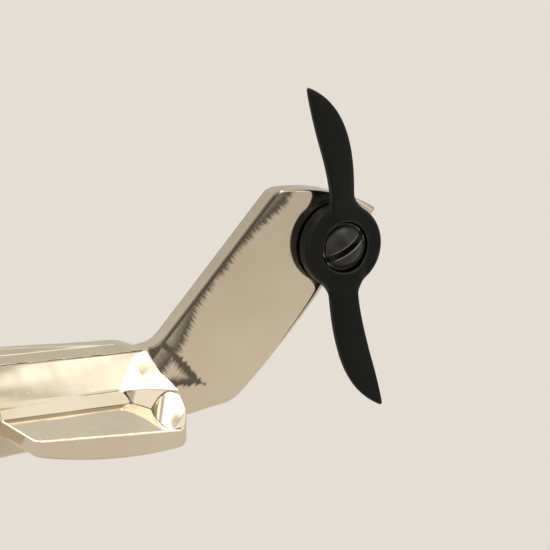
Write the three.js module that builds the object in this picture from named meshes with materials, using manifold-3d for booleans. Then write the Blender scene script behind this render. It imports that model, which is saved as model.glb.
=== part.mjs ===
// Tail section of a polished cast-metal model helicopter: a two-piece hollow boom with stub
// stabilisers, a swept fin clamped between the boom shells, and a freely turning two-blade tail rotor.
// Millimetres. +X points aft, +Y to starboard, +Z up. The origin is the middle of the boom's front
// joint face. The nose of the helicopter would be at -X, and the rotor is on the port side (-Y).

import * as THREE from "three";
import { mergeVertices } from "three/addons/utils/BufferGeometryUtils.js";
import { ConvexGeometry } from "three/addons/geometries/ConvexGeometry.js";
import Module from "manifold-3d";

const wasm = await Module();
wasm.setup();
const { lerp, clamp } = THREE.MathUtils;

// ---------------------------------------------------------------- driving dimensions

const GAP = 0.3; // seam left between castings that touch
const SHIM = 0.1; // gap between turned pieces that sit on each other
const BEYOND = 40; // far enough to pass right through any piece

// The boom's outline at its two ends: half-widths and heights of the flat top, of the side's widest
// line and of the flat belly. Everything between is a straight taper.
const BOOM = {
  length: 57,
  front: { top: [4.6, 9.9], side: [11.0, 2.5], belly: [5.2, -11.6] },
  rear: { top: [3.9, 8.5], side: [9.5, 2.6], belly: [3.5, -7.2] },
  upperBulge: 0.45,
  lowerBulge: 0.9,
  wall: 2.2,
  rearWall: 3,
};

// The stub stabiliser is one wing section drawn out sideways, drooping and slightly swept.
const WING = {
  leadingX: 20.4,
  trailingX: 60,
  rootY: 10.5,
  rootZ: 0.1,
  droop: 0.309,
  sweep: 0.36,
  noseDepth: 3.3,
  midDepth: 4.9,
  tailDepth: 1.7,
  noseRadius: 0.9,
  frontTipY: 19.8,
  tipY: 22.2,
  frontCornerRadius: 1.2,
  rearCornerRadius: 2.6,
};

// The steep band between the boom's widest line and the stabiliser's upper face.
const ROOT_BAND = { startX: 21.2, innerY: 7, topY: 9.85, topZ: 2.7, footY: 10.05, bottomZ: -3 };

// Near its rear end the boom's widest line sweeps outwards and a little upwards, up to a sharp edge
// that carries the boom's side out over the stabiliser. Below the edge is a steep wall.
const FLARE = {
  startX: 47,
  startOut: 9.7,
  startZ: 2.5,
  edgeOut: 18.1,
  edgeZ: 3.6,
  power: 2,
  steps: 8,
  innerY: 5,
  slope: 0.244,
  wallSpread: 1.2,
  bottomZ: -4,
};

// The rounded shoulder where the boom's rear end swells out over the stabiliser. It rises most near
// the boom and reaches furthest forward near the tip.
const SHOULDER = {
  innerY: 7,
  outerY: 22.2,
  steps: 10,
  height: 5.5,
  highestY: 14.5,
  innerReach: 12,
  outerReach: 7.2,
  length: 5.4,
  longestY: 18,
  lengthReach: 8.2,
  leastLength: 1.8,
  footPower: 1.6,
  depthBelowFloor: 2,
  profileSteps: 7,
};

const FIN = {
  thickness: 5,
  leadingFoot: [60.2, 8.6],
  leadingTop: [86.9, 37.5],
  topMiddle: [100.4, 37.4],
  topRear: [109.7, 31.5],
  trailingMiddle: [93.6, 9.6],
  trailingFoot: [79.2, -3.3],
  heelCorner: [77.4, -4.95],
  heelRear: [74.5, -5.3],
  heelFront: [67.7, -6.4],
  toe: [57.4, -6.9],
  rootFillet: 3,
};

// The tenon is the part of the fin that is held inside the boom.
const TENON = { frontX: 34, topZ: 6.1, bottomZ: -4.4, toeX: 50.6, shoulderX: 57.4 };

// The spine strip: half its ridge's width at the front, the facets that run down to the boom's top edges, and
// the ramp at its rear end. The crown fades out from the front joint face to the ramp.
const SPINE = {
  ridgeHalf: 2.5,
  height: 1.65,
  inset: 0.1,
  crown: 1.9,
  rampX: 50,
  endX: 56.2,
  endHeight: 0.35,
};

// The tee-shaped tongue under the spine strip, which the two shells close on.
const TONGUE = { fromX: 13.6, toX: 33, webWidth: 1.6, teeWidth: 3.4, teeBottomZ: 5, teeTopZ: 6.2 };

// Clamp screws run across the boom from starboard into blind bosses on the port side.
const CLAMP_SCREWS = { joint: [6, 0.5], front: [24, 3.4], middle: [38.5, 3.4], rear: [48, 3.4] };
const CLAMP = {
  shankRadius: 1.5,
  holeRadius: 1.7,
  headRadius: 2.6,
  headHeight: 1.8,
  seatRadius: 2.9,
  seatY: 4.9,
  jointSeatY: 8.2,
  bossRadius: 3.6,
  tipY: 5.6,
  slotWidth: 0.8,
  slotDepth: 0.8,
};

// Dowels line the two shells up below the fin's tenon, each in a pair of blind bosses.
const DOWELS = { front: [17.5, -5], rear: [29.5, -4.6] };
const DOWEL = { radius: 1.2, halfLength: 3.6, bossRadius: 2.4, end: 0.3 };

const JOINT_BLOCK = { length: 12.5, tappedRadius: 1.65, tappedDepth: 9, tappedZ: 5.4 };

// The rotor's own frame has its origin on the axis, in the boom's centre plane.
const ROTOR_AXIS = { x: 100, z: 25.5 };
const ROTOR = {
  hubRadius: 8.6,
  hubRearY: -3.1,
  hubFrontY: -6.5,
  edgeRound: 0.9,
  seatRadius: 5.2,
  seatY: -5.3,
  boreRadius: 3.65,
  bladeThickness: 1.9,
  bladeY: -5.2,
  bladeSteps: 14,
  tipRadius: 34,
  tipLean: 1.1,
  rootPitchDegrees: 11,
  pitchEndsAt: 22,
  pitchFadesOver: 12,
};
const SLEEVE = { outerRadius: 2.95, innerRadius: 2.6, rearY: -2.6, frontY: -5.4 };
const THRUST_WASHER = { outerRadius: 6, innerRadius: 3.1, rearY: -2.6, thickness: 0.4 };
const BUSH = { outerRadius: 3.55, innerRadius: 3.05 };
const HEAD_WASHER = { outerRadius: 4.85, thickness: 0.5 };
const ROTOR_SCREW = {
  headRadius: 4.5,
  headHeight: 2.6,
  shankRadius: 2.5,
  tipY: 7.6,
  slotWidth: 1.3,
  slotDepth: 1.5,
  slotDegrees: 33,
};
const LOCK_WASHER = { innerRadius: 2.65, outerRadius: 4.2, thickness: 0.7, split: 0.7 };
const CAP_NUT = {
  acrossFlats: 8,
  hexHeight: 4,
  cornerChamfer: 0.5,
  chamferHeight: 0.4,
  domeRadius: 3.7,
  domeSink: 0.5,
  washerRadius: 5,
  washerThickness: 0.8,
};

// ---------------------------------------------------------------- solids from three.js geometry

// A closed geometry as a solid that can be joined and cut.
function solid(geometry) {
  const bare = geometry.index ? geometry.toNonIndexed() : geometry.clone();
  bare.deleteAttribute("normal");
  bare.deleteAttribute("uv");
  const merged = mergeVertices(bare, 1e-4);
  const mesh = new wasm.Mesh({
    numProp: 3,
    vertProperties: merged.attributes.position.array,
    triVerts: new Uint32Array(merged.index.array),
  });
  return new wasm.Manifold(mesh);
}

// The surface of a solid as a geometry.
function surface(body) {
  const mesh = body.getMesh();
  const positions = new Float32Array(mesh.numVert * 3);
  for (let i = 0; i < mesh.numVert; i++) {
    positions.set(mesh.vertProperties.subarray(i * mesh.numProp, i * mesh.numProp + 3), i * 3);
  }
  const geometry = new THREE.BufferGeometry();
  geometry.setAttribute("position", new THREE.BufferAttribute(positions, 3));
  geometry.setIndex(new THREE.BufferAttribute(mesh.triVerts, 1));
  const flat = geometry.toNonIndexed();
  flat.computeVertexNormals();
  return flat;
}

// A box between two corners.
function block(low, high) {
  const size = high.map((value, i) => value - low[i]);
  const middle = high.map((value, i) => (value + low[i]) / 2);
  return solid(new THREE.BoxGeometry(...size).translate(...middle));
}

// A turned piece: (radius, y) points, anticlockwise round the profile, spun about the Y axis.
function turned(points, segments = 32) {
  const profile = points.map(([radius, y]) => new THREE.Vector2(radius, y));
  profile.push(profile[0].clone());
  return solid(new THREE.LatheGeometry(profile, segments));
}

// A ring or plain washer about the Y axis, between two heights.
function ring(innerRadius, outerRadius, lowY, highY) {
  return turned([[innerRadius, lowY], [outerRadius, lowY], [outerRadius, highY], [innerRadius, highY]]);
}

// A cylinder along Y from one height to another.
function rod(radius, lowY, highY, x = 0, z = 0, segments = 24) {
  const geometry = new THREE.CylinderGeometry(radius, radius, highY - lowY, segments);
  return solid(geometry.translate(x, (lowY + highY) / 2, z));
}

// A cylinder along X from one station to another.
function rodAlongX(radius, lowX, highX, z, segments = 20) {
  const geometry = new THREE.CylinderGeometry(radius, radius, highX - lowX, segments).rotateZ(Math.PI / 2);
  return solid(geometry.translate((lowX + highX) / 2, 0, z));
}

// A side-view outline in X and Z, drawn out along Y from one height to another.
function slab(shape, lowY, highY, curveSegments = 8) {
  const geometry = new THREE.ExtrudeGeometry(shape, {
    depth: highY - lowY,
    bevelEnabled: false,
    curveSegments,
  });
  return solid(geometry.rotateX(Math.PI / 2).translate(0, highY, 0));
}

// A closed solid through a list of rings, all with the same number of points. The rings run
// anticlockwise as seen from beyond the last one.
function loft(rings) {
  const sides = rings[0].length;
  const total = (ring) => ring.reduce((sum, point) => sum.add(point), new THREE.Vector3());
  const middle = (ring) => total(ring).divideScalar(sides);
  const points = [...rings.flat(), middle(rings[0]), middle(rings.at(-1))];
  const firstCap = points.length - 2;
  const lastRing = (rings.length - 1) * sides;
  const index = [];
  for (let i = 0; i < sides; i++) {
    const next = (i + 1) % sides;
    index.push(firstCap, next, i, firstCap + 1, lastRing + i, lastRing + next);
    for (let start = 0; start < lastRing; start += sides) {
      index.push(start + i, start + next, start + sides + i);
      index.push(start + next, start + sides + next, start + sides + i);
    }
  }
  const geometry = new THREE.BufferGeometry().setFromPoints(points);
  geometry.setIndex(index);
  return solid(geometry);
}

// Reflects a solid in the boom's centre plane.
const mirrored = (body) => body.mirror([0, 1, 0]);

// ---------------------------------------------------------------- the boom

// The boom's half-outline at a station, from the top's edge round to the belly's edge, pulled in
// by an inset. Each side line bulges outwards in a parabola.
function boomHalfOutline(x, inset = 0) {
  const share = x / BOOM.length;
  const at = (name) => BOOM.front[name].map((value, i) => lerp(value, BOOM.rear[name][i], share));
  const [top, side, belly] = [at("top"), at("side"), at("belly")];
  const points = [];
  const sweep = (from, to, bulge, steps) => {
    const along = new THREE.Vector2(to[0] - from[0], to[1] - from[1]);
    const outward = new THREE.Vector2(-along.y, along.x).normalize();
    for (let i = 0; i <= steps; i++) {
      const t = i / steps;
      const out = bulge * 4 * t * (1 - t);
      points.push([from[0] + along.x * t + outward.x * out, from[1] + along.y * t + outward.y * out]);
    }
  };
  sweep(top, side, BOOM.upperBulge, 5);
  sweep(side, belly, BOOM.lowerBulge, 6);
  const middleZ = (top[1] + belly[1]) / 2;
  const halfHeight = (top[1] - belly[1]) / 2;
  const narrower = (halfHeight - inset) / halfHeight;
  return points.map(([y, z]) => [Math.max(y - inset * 1.25, 0.6), middleZ + (z - middleZ) * narrower]);
}

// The boom's outline between two stations as one convex solid.
function boomSolid(fromX, toX, inset = 0) {
  const points = [];
  for (const x of [fromX, toX]) {
    for (const [y, z] of boomHalfOutline(x, inset)) {
      points.push(new THREE.Vector3(x, y, z), new THREE.Vector3(x, -y, z));
    }
  }
  return solid(new ConvexGeometry(points));
}

// The height and half-width of the boom's flat top at a station.
const boomTopZ = (x) => lerp(BOOM.front.top[1], BOOM.rear.top[1], x / BOOM.length);
const boomTopHalf = (x) => lerp(BOOM.front.top[0], BOOM.rear.top[0], x / BOOM.length);

// The wing section in X and Z at the root, with its underside a shallow arc. A tall section has the
// same underside and reaches up past the boom.
function wingSection(topZ) {
  const nose = WING.leadingX;
  const tail = WING.trailingX;
  const meanDepth = (WING.noseDepth + WING.tailDepth) / 2;
  const underside = new THREE.Vector2((nose + BOOM.length) / 2, meanDepth - 2 * WING.midDepth);
  const shape = new THREE.Shape();
  shape.moveTo(tail, topZ);
  shape.lineTo(nose + WING.noseRadius, topZ);
  shape.quadraticCurveTo(nose, topZ, nose, topZ - WING.noseRadius);
  shape.lineTo(nose, -WING.noseDepth + WING.noseRadius);
  shape.quadraticCurveTo(nose, -WING.noseDepth, nose + WING.noseRadius, -WING.noseDepth);
  shape.quadraticCurveTo(underside.x, underside.y, tail, -WING.tailDepth);
  return shape;
}

// A wing section drawn out to port, drooping and sweeping as it goes.
function wingSpan(topZ) {
  const span = WING.tipY + 3;
  const settings = { depth: span, bevelEnabled: false, curveSegments: 10 };
  const geometry = new THREE.ExtrudeGeometry(wingSection(topZ), settings).rotateX(Math.PI / 2);
  const droopAndSweep = new THREE.Matrix4().set(
    1, -WING.sweep, 0, -WING.sweep * WING.rootY,
    0, 1, 0, 0,
    0, WING.droop, 1, WING.rootZ + WING.droop * WING.rootY,
    0, 0, 0, 1,
  );
  return solid(geometry.applyMatrix4(droopAndSweep));
}

// The stabiliser's plan outline, with rounded corners at the tip.
function wingPlan() {
  const [tip, frontTipY, front, rear] = [-WING.tipY, -WING.frontTipY, WING.leadingX - 1, BOOM.length];
  const shape = new THREE.Shape();
  const frontTip = WING.leadingX + WING.sweep * (WING.frontTipY - WING.rootY);
  shape.moveTo(front, 0);
  shape.lineTo(rear, 0);
  shape.lineTo(rear, tip + WING.rearCornerRadius);
  shape.quadraticCurveTo(rear, tip, rear - WING.rearCornerRadius, tip);
  shape.lineTo(frontTip + WING.frontCornerRadius, frontTipY);
  shape.quadraticCurveTo(frontTip, frontTipY, frontTip - 0.3, frontTipY + WING.frontCornerRadius);
  shape.lineTo(front, -WING.rootY - 2);
  const settings = { depth: 2 * BEYOND, bevelEnabled: false, curveSegments: 6 };
  return solid(new THREE.ExtrudeGeometry(shape, settings).translate(0, 0, -BEYOND));
}

// The steep band at the stabiliser's root, drawn out along the boom.
function rootBand() {
  const { startX, innerY, topY, topZ, footY, bottomZ } = ROOT_BAND;
  const shape = new THREE.Shape();
  shape.moveTo(-innerY, bottomZ);
  shape.lineTo(-innerY, topZ);
  shape.lineTo(-topY, topZ);
  shape.lineTo(-footY, WING.rootZ);
  shape.lineTo(-footY, bottomZ);
  const settings = { depth: BOOM.length - startX, bevelEnabled: false };
  const zxy = new THREE.Matrix4().set(0, 0, 1, startX, 1, 0, 0, 0, 0, 1, 0, 0, 0, 0, 0, 1);
  return solid(new THREE.ExtrudeGeometry(shape, settings).applyMatrix4(zxy));
}

// The outward sweep of the boom's side over the stabiliser's rear end.
function flare() {
  const { startX, startOut, startZ, edgeOut, edgeZ, power, steps, innerY, slope, wallSpread, bottomZ } = FLARE;
  const endX = BOOM.length + 0.5;
  const rings = [];
  for (let i = 0; i <= steps; i++) {
    const x = lerp(startX, endX, i / steps);
    const share = (x - startX) / (BOOM.length - startX);
    const out = startOut + (edgeOut - startOut) * share ** power;
    const z = lerp(startZ, edgeZ, share);
    rings.push([
      new THREE.Vector3(x, -innerY, bottomZ),
      new THREE.Vector3(x, -innerY, z + slope * (out - innerY)),
      new THREE.Vector3(x, -out, z),
      new THREE.Vector3(x, -out - wallSpread * share, floorZ(out)),
      new THREE.Vector3(x, -out - wallSpread * share, bottomZ),
    ]);
  }
  return loft(rings);
}

// The height of the stabiliser's upper face at a distance out from the centre plane.
const floorZ = (out) => WING.rootZ - WING.droop * (out - WING.rootY);

// The rounded shoulder over the stabiliser's rear end: sections set side by side, each falling away
// forwards to the stabiliser's upper face.
function shoulder() {
  const swell = (out, middle, reach) => Math.sqrt(Math.max(0, 1 - ((out - middle) / reach) ** 2));
  const { highestY, innerReach, outerReach, longestY, lengthReach, leastLength, profileSteps } = SHOULDER;
  const rearX = BOOM.length + 0.5;
  const rings = [];
  for (let i = 0; i <= SHOULDER.steps; i++) {
    const out = lerp(SHOULDER.innerY, SHOULDER.outerY, i / SHOULDER.steps);
    const height = SHOULDER.height * swell(out, highestY, out < highestY ? innerReach : outerReach);
    const length = Math.max(leastLength, SHOULDER.length * swell(out, longestY, lengthReach));
    const bottomZ = floorZ(out) - SHOULDER.depthBelowFloor;
    const topZ = floorZ(out) + height;
    const ring = [new THREE.Vector3(rearX, -out, bottomZ), new THREE.Vector3(rearX, -out, topZ)];
    for (let k = 0; k <= profileSteps; k++) {
      const share = k / profileSteps;
      const z = floorZ(out) + height * (1 - share ** SHOULDER.footPower);
      ring.push(new THREE.Vector3(BOOM.length - length * share, -out, z));
    }
    ring.push(new THREE.Vector3(BOOM.length - length, -out, bottomZ));
    rings.push(ring);
  }
  return loft(rings);
}

// The port stabiliser with what rises from it, trimmed to its plan and underside.
function portStabiliser() {
  const upper = wingSpan(0).add(rootBand()).add(flare()).add(shoulder());
  return upper.intersect(wingSpan(BEYOND)).intersect(wingPlan());
}

// The port shell's outside, before it is hollowed.
function portSkin() {
  return boomSolid(0, BOOM.length).add(portStabiliser());
}

// The hollow inside both shells, open at the front.
const boomHollow = () => boomSolid(-0.5, BOOM.length - BOOM.rearWall, BOOM.wall);

// What the fin and the spine strip need cut out of the shells.
function clearances() {
  const half = FIN.thickness / 2 + GAP / 2;
  const { frontX, toeX, topZ, bottomZ } = TENON;
  const finSlot = block([toeX - GAP, -half, bottomZ - GAP], [BOOM.length + 1, half, BEYOND]);
  const tenonSlot = block([frontX - GAP, -half, bottomZ - GAP], [toeX, half, topZ + GAP]);
  const { fromX, toX, webWidth, teeWidth, teeBottomZ, teeTopZ } = TONGUE;
  const webHalf = webWidth / 2 + GAP / 2;
  const teeHalf = teeWidth / 2 + GAP / 2;
  const webSlot = block([fromX - GAP, -webHalf, teeBottomZ - GAP], [toX + GAP, webHalf, BEYOND]);
  const teeSlot = block([fromX - GAP, -teeHalf, teeBottomZ - GAP], [toX + GAP, teeHalf, teeTopZ + GAP / 2]);
  return finSlot.add(tenonSlot).add(webSlot).add(teeSlot);
}

// A boss for each clamp screw, from the shell's wall in to the fin's tenon or to the other shell.
function portBosses() {
  const bosses = ["front", "middle", "rear"].map((name) => {
    const [x, z] = CLAMP_SCREWS[name];
    const innerY = name === "front" ? -GAP / 2 : -FIN.thickness / 2 - GAP / 2;
    return rod(CLAMP.bossRadius, -9.5, innerY, x, z);
  });
  const dowelBosses = Object.values(DOWELS).map(([x, z]) => rod(DOWEL.bossRadius, -9.5, -GAP / 2, x, z));
  const all = [...bosses, ...dowelBosses].reduce((joined, boss) => joined.add(boss));
  return all.intersect(boomSolid(0, BOOM.length, 0.4));
}

// A blind hole for each dowel, through the seam into both shells.
function dowelHoles() {
  const reach = DOWEL.halfLength + DOWEL.end;
  const holes = Object.values(DOWELS).map(([x, z]) => rod(DOWEL.radius + SHIM, -reach, reach, x, z));
  return holes.reduce((joined, hole) => joined.add(hole));
}

const portHalfSpace = () => block([-BEYOND, -BEYOND, -BEYOND], [2 * BEYOND, -GAP / 2, BEYOND]);

function hollowPortShell() {
  const shell = portSkin().subtract(boomHollow()).add(portBosses()).intersect(portHalfSpace());
  return shell.subtract(clearances()).subtract(dowelHoles());
}

// The port shell takes the screws' threads in blind holes.
function boomPortShell() {
  const holes = Object.entries(CLAMP_SCREWS).map(([name, [x, z]]) => {
    const depth = name === "joint" ? -BOOM.front.side[0] + 1.5 : -CLAMP.tipY - 0.3;
    return rod(CLAMP.holeRadius, depth, 1, x, z);
  });
  return holes.reduce((body, hole) => body.subtract(hole), hollowPortShell());
}

// The starboard shell has a through hole and a round seat for each screw's head.
function boomStarboardShell() {
  const cuts = Object.entries(CLAMP_SCREWS).map(([name, [x, z]]) => {
    const seatY = name === "joint" ? CLAMP.jointSeatY : CLAMP.seatY;
    return rod(CLAMP.holeRadius, -1, seatY + 1, x, z).add(rod(CLAMP.seatRadius, seatY, 14, x, z));
  });
  return cuts.reduce((body, cut) => body.subtract(cut), mirrored(hollowPortShell()));
}

// The spine strip's side view: its underside, its ramp at the rear and its ridge.
function spineProfile() {
  const { height, crown, rampX, endX, endHeight } = SPINE;
  const ridgeZ = boomTopZ(rampX) + height;
  const shape = new THREE.Shape();
  shape.moveTo(0, boomTopZ(0) + SHIM);
  shape.lineTo(endX, boomTopZ(endX) + SHIM);
  shape.lineTo(endX, boomTopZ(endX) + endHeight);
  shape.quadraticCurveTo(rampX + 3, ridgeZ, rampX, ridgeZ);
  shape.lineTo(0, boomTopZ(0) + height + crown);
  return shape;
}

// The spine strip's section, crowned at the front, as one convex solid along the boom.
function spineRoof() {
  const { ridgeHalf, height, inset, crown, rampX, endX } = SPINE;
  const points = [];
  for (const [x, rise] of [[0, crown], [rampX, 0], [endX, 0]]) {
    const footY = boomTopHalf(x) - inset;
    const ridgeY = ridgeHalf - BOOM.front.top[0] + boomTopHalf(x);
    for (const side of [-1, 1]) {
      points.push(new THREE.Vector3(x, side * footY, boomTopZ(x)));
      for (const share of [1, 0.5, 0]) {
        const z = boomTopZ(x) + height + rise * (1 - share ** 2);
        points.push(new THREE.Vector3(x, side * ridgeY * share, z));
      }
    }
  }
  return solid(new ConvexGeometry(points));
}

// A raised strip along the boom's back, over the seam, held by a tee-shaped tongue.
function spineStrip() {
  const bar = slab(spineProfile(), -BEYOND, BEYOND).intersect(spineRoof());
  const { fromX, toX, webWidth, teeWidth, teeBottomZ, teeTopZ } = TONGUE;
  const web = block([fromX, -webWidth / 2, teeBottomZ], [toX, webWidth / 2, boomTopZ(toX) + 0.5]);
  const tee = block([fromX, -teeWidth / 2, teeBottomZ], [toX, teeWidth / 2, teeTopZ]);
  return bar.add(web).add(tee);
}

// The block that closes the boom's front and takes the bolts from the helicopter's body.
function jointBlock() {
  const [x, z] = CLAMP_SCREWS.joint;
  const body = boomSolid(0, JOINT_BLOCK.length, BOOM.wall + GAP);
  const { tappedRadius, tappedDepth, tappedZ } = JOINT_BLOCK;
  const tapped = [-tappedZ, tappedZ].map((height) => rodAlongX(tappedRadius, -1, tappedDepth, height));
  const crossHole = rod(CLAMP.holeRadius, -BEYOND, BEYOND, x, z);
  return body.subtract(tapped[0]).subtract(tapped[1]).subtract(crossHole);
}

// A slotted cheese-head screw lying along Y, head to starboard, with its head's underside at seatY.
function clampScrew(seatY, tipY) {
  const { shankRadius, headRadius, headHeight, slotWidth, slotDepth } = CLAMP;
  const lowY = seatY + SHIM;
  const highY = lowY + headHeight;
  const body = turned([
    [0, tipY], [shankRadius - 0.4, tipY], [shankRadius, tipY + 0.5], [shankRadius, lowY],
    [headRadius, lowY], [headRadius, highY - 0.4], [headRadius - 0.4, highY], [0, highY],
  ], 24);
  const slotHalf = slotWidth / 2;
  const slot = block([-BEYOND, highY - slotDepth, -slotHalf], [BEYOND, highY + 1, slotHalf]);
  return body.subtract(slot);
}

// A plain pin with chamfered ends, lying across the seam.
function dowelPin() {
  const { radius, halfLength } = DOWEL;
  const chamfer = 0.3;
  return turned([
    [0, -halfLength], [radius - chamfer, -halfLength], [radius, -halfLength + chamfer],
    [radius, halfLength - chamfer], [radius - chamfer, halfLength], [0, halfLength],
  ], 20);
}

// ---------------------------------------------------------------- the fin

function finOutline() {
  const { leadingFoot, leadingTop, topMiddle, topRear, rootFillet: fillet } = FIN;
  const { trailingMiddle, trailingFoot, heelCorner, heelRear, heelFront, toe } = FIN;
  const shape = new THREE.Shape();
  shape.moveTo(TENON.toeX, boomTopZ(TENON.toeX));
  shape.lineTo(leadingFoot[0] - fillet, leadingFoot[1]);
  shape.quadraticCurveTo(...leadingFoot, leadingFoot[0] + fillet * 0.68, leadingFoot[1] + fillet * 0.735);
  shape.lineTo(leadingTop[0] - 1.1, leadingTop[1] - 1.2);
  shape.quadraticCurveTo(...leadingTop, leadingTop[0] + 1.6, leadingTop[1]);
  shape.quadraticCurveTo(...topMiddle, topRear[0] - 0.7, topRear[1] + 0.4);
  shape.quadraticCurveTo(...topRear, topRear[0] - 0.5, topRear[1] - 0.6);
  shape.quadraticCurveTo(...trailingMiddle, ...trailingFoot);
  shape.quadraticCurveTo(...heelCorner, ...heelRear);
  shape.lineTo(...heelFront);
  shape.lineTo(...toe);
  shape.lineTo(TENON.shoulderX, TENON.bottomZ);
  shape.lineTo(TENON.frontX, TENON.bottomZ);
  shape.lineTo(TENON.frontX, TENON.topZ);
  shape.lineTo(TENON.toeX, TENON.topZ);
  return shape;
}

function fin() {
  const half = FIN.thickness / 2;
  const plate = slab(finOutline(), -half, half);
  const rotorHole = rod(ROTOR_SCREW.shankRadius + 0.2, -5, 5, ROTOR_AXIS.x, ROTOR_AXIS.z);
  const screwHoles = ["middle", "rear"].map((name) => rod(CLAMP.holeRadius, -5, 5, ...CLAMP_SCREWS[name]));
  return screwHoles.reduce((body, hole) => body.subtract(hole), plate.subtract(rotorHole));
}

// ---------------------------------------------------------------- the tail rotor, about the Y axis

// The upper blade's two edges seen from port: a scimitar's bulging edge and a nearly straight one.
const edgeCurve = (...points) => new THREE.CubicBezierCurve(...points.map(([x, z]) => new THREE.Vector2(x, z)));
const FULL_EDGE = edgeCurve([2.9, 4], [3, 18], [1.5, 29], [-8.2, 33.5]);
const STRAIGHT_EDGE = edgeCurve([-3, 4], [-2.4, 15], [-6.6, 22], [-8.6, 33.1]);

// The upper blade: thick along the middle, thin at both edges, and pitched most at its root.
function blade() {
  const steepest = Math.tan(THREE.MathUtils.degToRad(ROTOR.rootPitchDegrees));
  const rings = [];
  for (let i = 0; i <= ROTOR.bladeSteps; i++) {
    const t = i / ROTOR.bladeSteps;
    const full = FULL_EDGE.getPoint(t);
    const straight = STRAIGHT_EDGE.getPoint(t);
    const half = (ROTOR.bladeThickness / 2) * (1 - 0.35 * t);
    const place = (across, out) => {
      const spot = full.clone().lerp(straight, across);
      const pitch = steepest * clamp((ROTOR.pitchEndsAt - spot.y) / ROTOR.pitchFadesOver, 0, 1);
      const lean = ROTOR.tipLean * (spot.y / ROTOR.tipRadius);
      return new THREE.Vector3(spot.x, ROTOR.bladeY - lean + out * half + pitch * spot.x, spot.y);
    };
    rings.push([
      place(0, -0.35), place(0, 0.35), place(0.14, 1), place(0.86, 1),
      place(1, 0.35), place(1, -0.35), place(0.86, -1), place(0.14, -1),
    ]);
  }
  return loft(rings);
}

function rotor() {
  const { hubRadius, hubRearY, hubFrontY, edgeRound, seatRadius, seatY, boreRadius } = ROTOR;
  const hub = turned([
    [0, hubFrontY], [hubRadius - edgeRound, hubFrontY], [hubRadius - 0.2, hubFrontY + 0.2],
    [hubRadius, hubFrontY + edgeRound], [hubRadius, hubRearY - 0.3], [hubRadius - 0.3, hubRearY],
    [0, hubRearY],
  ], 40);
  const upper = blade();
  const lower = upper.rotate([0, 180, 0]);
  const seat = rod(seatRadius, hubFrontY - 1, seatY, 0, 0, 32);
  const bore = rod(boreRadius, seatY - 1, hubRearY + 1, 0, 0, 32);
  return hub.add(upper).add(lower).subtract(seat).subtract(bore);
}

const rotorBush = () => ring(BUSH.innerRadius, BUSH.outerRadius, ROTOR.seatY, ROTOR.hubRearY);
const pivotSleeve = () => ring(SLEEVE.innerRadius, SLEEVE.outerRadius, SLEEVE.frontY, SLEEVE.rearY);

function thrustWasher() {
  const { innerRadius, outerRadius, rearY, thickness } = THRUST_WASHER;
  return ring(innerRadius, outerRadius, rearY - thickness, rearY);
}

function headWasher() {
  const rearY = SLEEVE.frontY - SHIM;
  return ring(ROTOR_SCREW.shankRadius + 0.15, HEAD_WASHER.outerRadius, rearY - HEAD_WASHER.thickness, rearY);
}

// A round-head slotted screw, its domed head to port.
function rotorScrew() {
  const { headRadius, headHeight, shankRadius, tipY, slotWidth, slotDepth, slotDegrees } = ROTOR_SCREW;
  const seatY = SLEEVE.frontY - 2 * SHIM - HEAD_WASHER.thickness;
  const sphereRadius = (headRadius ** 2 + headHeight ** 2) / (2 * headHeight);
  const rim = Math.asin(headRadius / sphereRadius);
  const dome = [];
  for (let i = 0; i <= 7; i++) {
    const angle = (rim * i) / 7;
    dome.push([sphereRadius * Math.sin(angle), seatY - headHeight + sphereRadius * (1 - Math.cos(angle))]);
  }
  const shank = [[shankRadius, seatY], [shankRadius, tipY - 0.5], [shankRadius - 0.5, tipY], [0, tipY]];
  const body = turned([...dome, ...shank]);
  const slotFloorY = seatY - headHeight + slotDepth;
  const slot = block([-6, seatY - headHeight - 2, -slotWidth / 2], [6, slotFloorY, slotWidth / 2]);
  return body.subtract(slot.rotate([0, -slotDegrees, 0]));
}

function nutWasher() {
  const lowY = FIN.thickness / 2 + SHIM;
  return ring(ROTOR_SCREW.shankRadius + 0.15, CAP_NUT.washerRadius, lowY, lowY + CAP_NUT.washerThickness);
}

// A split spring washer that keeps the cap nut tight.
function lockWasher() {
  const lowY = FIN.thickness / 2 + 2 * SHIM + CAP_NUT.washerThickness;
  const { innerRadius, outerRadius, thickness, split } = LOCK_WASHER;
  const whole = ring(innerRadius, outerRadius, lowY, lowY + thickness);
  return whole.subtract(block([0, lowY - 1, -split / 2], [outerRadius + 1, lowY + thickness + 1, split / 2]));
}

// A domed hexagon nut that covers the screw's end on the starboard side.
function capNut() {
  const { acrossFlats, hexHeight, cornerChamfer, chamferHeight, domeRadius, domeSink } = CAP_NUT;
  const lowY = FIN.thickness / 2 + 3 * SHIM + CAP_NUT.washerThickness + LOCK_WASHER.thickness;
  const highY = lowY + hexHeight;
  const corner = acrossFlats / Math.sqrt(3);
  const hexagon = rod(corner, lowY, highY, 0, 0, 6);
  const chamfer = turned([
    [0, lowY], [corner - cornerChamfer, lowY], [corner, lowY + chamferHeight],
    [corner, highY - chamferHeight], [corner - cornerChamfer, highY], [0, highY],
  ]);
  const dome = solid(new THREE.SphereGeometry(domeRadius, 28, 16).translate(0, highY - domeSink, 0));
  const above = block([-BEYOND, lowY + 1, -BEYOND], [BEYOND, BEYOND, BEYOND]);
  const bore = rod(ROTOR_SCREW.shankRadius + SHIM, lowY - 1, ROTOR_SCREW.tipY + 0.4);
  return hexagon.intersect(chamfer).add(dome.intersect(above)).subtract(bore);
}

// ---------------------------------------------------------------- the assembly

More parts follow.
